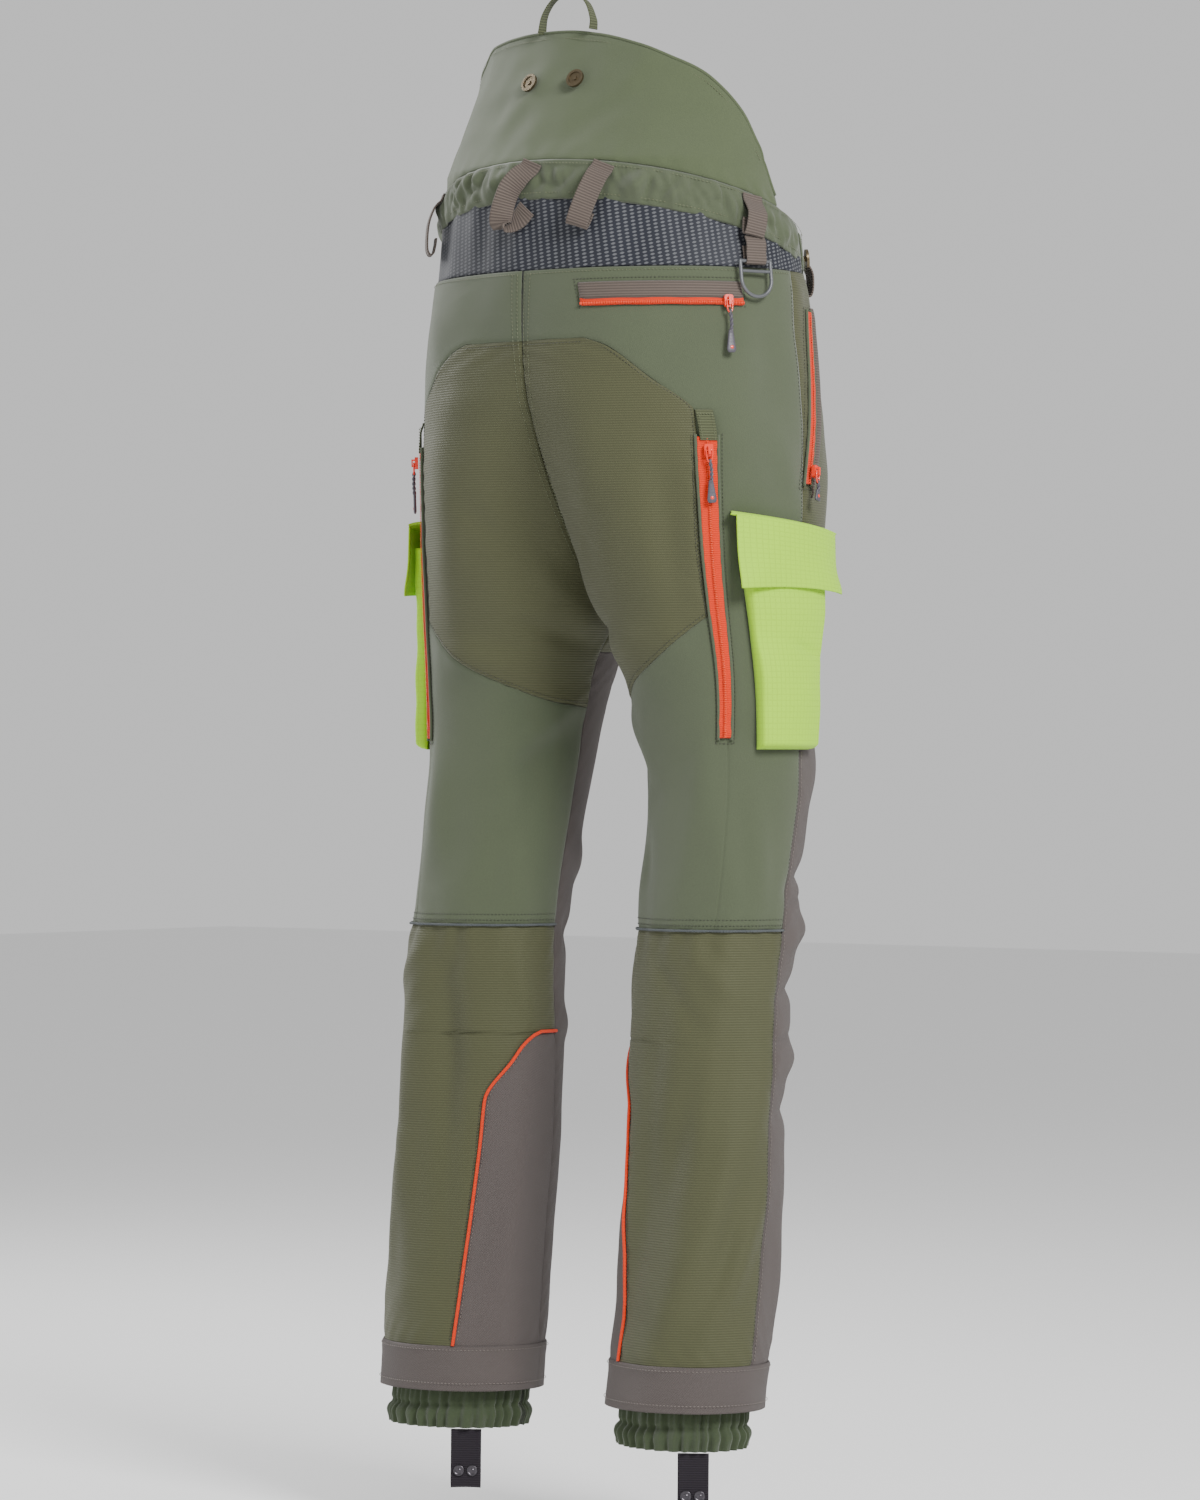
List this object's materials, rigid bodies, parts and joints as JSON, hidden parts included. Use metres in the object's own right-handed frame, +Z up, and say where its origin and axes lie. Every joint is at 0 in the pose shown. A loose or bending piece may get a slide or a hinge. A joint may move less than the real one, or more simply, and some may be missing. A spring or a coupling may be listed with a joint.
{
  "type": "forestry cut-protection trousers",
  "caption": "Forestry cut-protection trousers with kidney bib, mesh band, vent zips, thigh pouches, reinforced seat, knees and hems, ankle gaiters and foot straps.",
  "frame": {"origin": "middle of the waist opening, level with the back of the waistband's top edge", "axes": "+Z up the wearer, +Y towards the wearer's back, +X towards the wearer's left"},
  "size_m": [0.4362, 0.3001, 1.3363],
  "materials": {
    "softshell": "matt brushed stretch softshell, olive green",
    "ribbed_guard": "ribbed abrasion-resistant weave, olive brown",
    "taupe_guard": "coarse hard-wearing weave, taupe",
    "mesh": "open ventilation mesh, charcoal",
    "lining_cloth": "smooth lining cloth",
    "pad_fibre": "layered knitted cut-protection fibre",
    "elastic": "knitted elastic",
    "gaiter_cloth": "thin ruched cloth, dark olive",
    "webbing": "ribbed webbing, taupe",
    "strap_webbing": "black webbing",
    "olive_webbing": "olive tape",
    "neon": "high-visibility yellow-green cloth",
    "zip_tape": "moulded coil zip on coated orange tape",
    "zip_slider": "orange lacquered slider",
    "pull_grip": "moulded dark grey grip",
    "piping_grey": "grey retroreflective piping",
    "piping_orange": "orange piping",
    "button_metal": "antique burnished tack button",
    "ring": "grey moulded ring"
  },
  "bodies": {
    "trousers": {"ankle_gaiter_left": "gaiter_cloth", "ankle_gaiter_right": "gaiter_cloth", "back_pocket_welt": "taupe_guard", "belt_loops": "webbing", "bib_lining": "lining_cloth", "brace_buttons": "button_metal", "calf_panel_left": "taupe_guard", "calf_panel_right": "taupe_guard", "calf_piping": "piping_orange", "cargo_pocket_left": "neon", "cargo_pocket_right": "neon", "cut_insert_left": "pad_fibre", "cut_insert_right": "pad_fibre", "d_ring_tab": "webbing", "fly_cover": "softshell", "front_guard_left": "taupe_guard", "front_guard_right": "taupe_guard", "hem_band_left": "taupe_guard", "hem_band_right": "taupe_guard", "kidney_bib": "softshell", "knee_piping": "piping_grey", "leg_lining_left": "lining_cloth", "leg_lining_right": "lining_cloth", "lower_leg_back_left": "ribbed_guard", "lower_leg_back_right": "ribbed_guard", "mesh_panel": "mesh", "pocket_bags": "lining_cloth", "seat_panel_left": "ribbed_guard", "seat_panel_right": "ribbed_guard", "thigh_back_left": "softshell", "thigh_back_right": "softshell", "thigh_front_left": "ribbed_guard", "thigh_front_right": "ribbed_guard", "thigh_side_left": "softshell", "thigh_side_right": "softshell", "waist_elastic": "elastic", "waist_snap": "button_metal", "waistband_back": "softshell", "waistband_front_left": "softshell", "waistband_front_right": "softshell", "yoke_left": "softshell", "yoke_right": "softshell", "zip_tapes": "zip_tape"},
    "back_zip_slider": {"back_zip_slider": "zip_slider"},
    "back_zip_pull": {"back_zip_pull": "pull_grip"},
    "vent_zip_left_slider": {"vent_zip_left_slider": "zip_slider"},
    "vent_zip_left_pull": {"vent_zip_left_pull": "pull_grip"},
    "hand_zip_left_slider": {"hand_zip_left_slider": "zip_slider"},
    "hand_zip_left_pull": {"hand_zip_left_pull": "pull_grip"},
    "vent_zip_right_slider": {"vent_zip_right_slider": "zip_slider"},
    "vent_zip_right_pull": {"vent_zip_right_pull": "pull_grip"},
    "hand_zip_right_slider": {"hand_zip_right_slider": "zip_slider"},
    "hand_zip_right_pull": {"hand_zip_right_pull": "pull_grip"},
    "fly_zip_slider": {"fly_zip_slider": "zip_slider"},
    "cargo_flap_left": {"cargo_flap_left": "neon"},
    "foot_strap_left": {"foot_strap_left": "strap_webbing"},
    "cargo_flap_right": {"cargo_flap_right": "neon"},
    "foot_strap_right": {"foot_strap_right": "strap_webbing"},
    "d_ring": {"d_ring": "ring"},
    "hanging_loop": {"hanging_loop": "olive_webbing"}
  },
  "joints": [
    {"name": "back_zip_slide", "type": "hinge", "parent": "trousers", "child": "back_zip_slider", "pos_m": [-0.03746, -0.02193, -0.127], "axis": [0, 0, 1], "range_deg": [-44.7, 0]},
    {"name": "back_zip_pull_hinge", "type": "hinge", "parent": "back_zip_slider", "child": "back_zip_pull", "pos_m": [-0.1772, 0.0621, -0.12657], "axis": [0.4969, 0.8678, 0], "range_deg": [0, 100]},
    {"name": "vent_zip_left_slider_slide", "type": "slide", "parent": "trousers", "child": "vent_zip_left_slider", "axis": [-0.0221, 0.0644, 0.9977], "range_m": [-0.235, 0]},
    {"name": "vent_zip_left_pull_hinge", "type": "hinge", "parent": "vent_zip_left_slider", "child": "vent_zip_left_pull", "pos_m": [0.1723, 0.08433, -0.25788], "axis": [0.6297, -0.7742, 0.0639], "range_deg": [0, 100]},
    {"name": "hand_zip_left_slider_slide", "type": "slide", "parent": "trousers", "child": "hand_zip_left_slider", "axis": [-0.1192, -0.1613, 0.9797], "range_m": [0, 0.125]},
    {"name": "hand_zip_left_pull_hinge", "type": "hinge", "parent": "hand_zip_left_slider", "child": "hand_zip_left_pull", "pos_m": [0.2023, -0.03072, -0.27288], "axis": [-0.1851, -0.9658, -0.1816], "range_deg": [0, 90]},
    {"name": "vent_zip_right_slider_slide", "type": "slide", "parent": "trousers", "child": "vent_zip_right_slider", "axis": [0.0221, 0.0644, 0.9977], "range_m": [-0.235, 0]},
    {"name": "vent_zip_right_pull_hinge", "type": "hinge", "parent": "vent_zip_right_slider", "child": "vent_zip_right_pull", "pos_m": [-0.1723, 0.08433, -0.25788], "axis": [0.6297, 0.7742, -0.0639], "range_deg": [0, 100]},
    {"name": "hand_zip_right_slider_slide", "type": "slide", "parent": "trousers", "child": "hand_zip_right_slider", "axis": [0.1192, -0.1613, 0.9797], "range_m": [0, 0.125]},
    {"name": "hand_zip_right_pull_hinge", "type": "hinge", "parent": "hand_zip_right_slider", "child": "hand_zip_right_pull", "pos_m": [-0.2023, -0.03072, -0.27288], "axis": [-0.1851, 0.9658, 0.1816], "range_deg": [0, 90]},
    {"name": "fly_zip_slider_slide", "type": "slide", "parent": "trousers", "child": "fly_zip_slider", "axis": [0, -0.077, 0.997], "range_m": [-0.085, 0]},
    {"name": "cargo_flap_left_hinge", "type": "hinge", "parent": "trousers", "child": "cargo_flap_left", "pos_m": [0.19793, 0.00889, -0.31675], "axis": [0.1036, -0.9874, -0.1199], "range_deg": [0, 40]},
    {"name": "foot_strap_left_hinge", "type": "hinge", "parent": "trousers", "child": "foot_strap_left", "pos_m": [0.09371, 0.10168, -1.1274], "axis": [-0.8126, -0.5829, 0], "range_deg": [-60, 60]},
    {"name": "cargo_flap_right_hinge", "type": "hinge", "parent": "trousers", "child": "cargo_flap_right", "pos_m": [-0.19793, 0.00889, -0.31675], "axis": [0.1036, 0.9874, 0.1199], "range_deg": [0, 40]},
    {"name": "foot_strap_right_hinge", "type": "hinge", "parent": "trousers", "child": "foot_strap_right", "pos_m": [-0.17123, 0.10501, -1.1274], "axis": [-0.8162, -0.5778, 0], "range_deg": [-60, 60]},
    {"name": "d_ring_hinge", "type": "hinge", "parent": "trousers", "child": "d_ring", "pos_m": [-0.18304, 0.03376, -0.091], "axis": [0.3194, 0.9476, 0], "range_deg": [0, 90]},
    {"name": "hanging_loop_hinge", "type": "hinge", "parent": "trousers", "child": "hanging_loop", "pos_m": [0, 0.07178, 0.122], "axis": [1, 0, 0], "range_deg": [-60, 15], "stiffness_Nm_per_rad": 0.002}
  ]
}
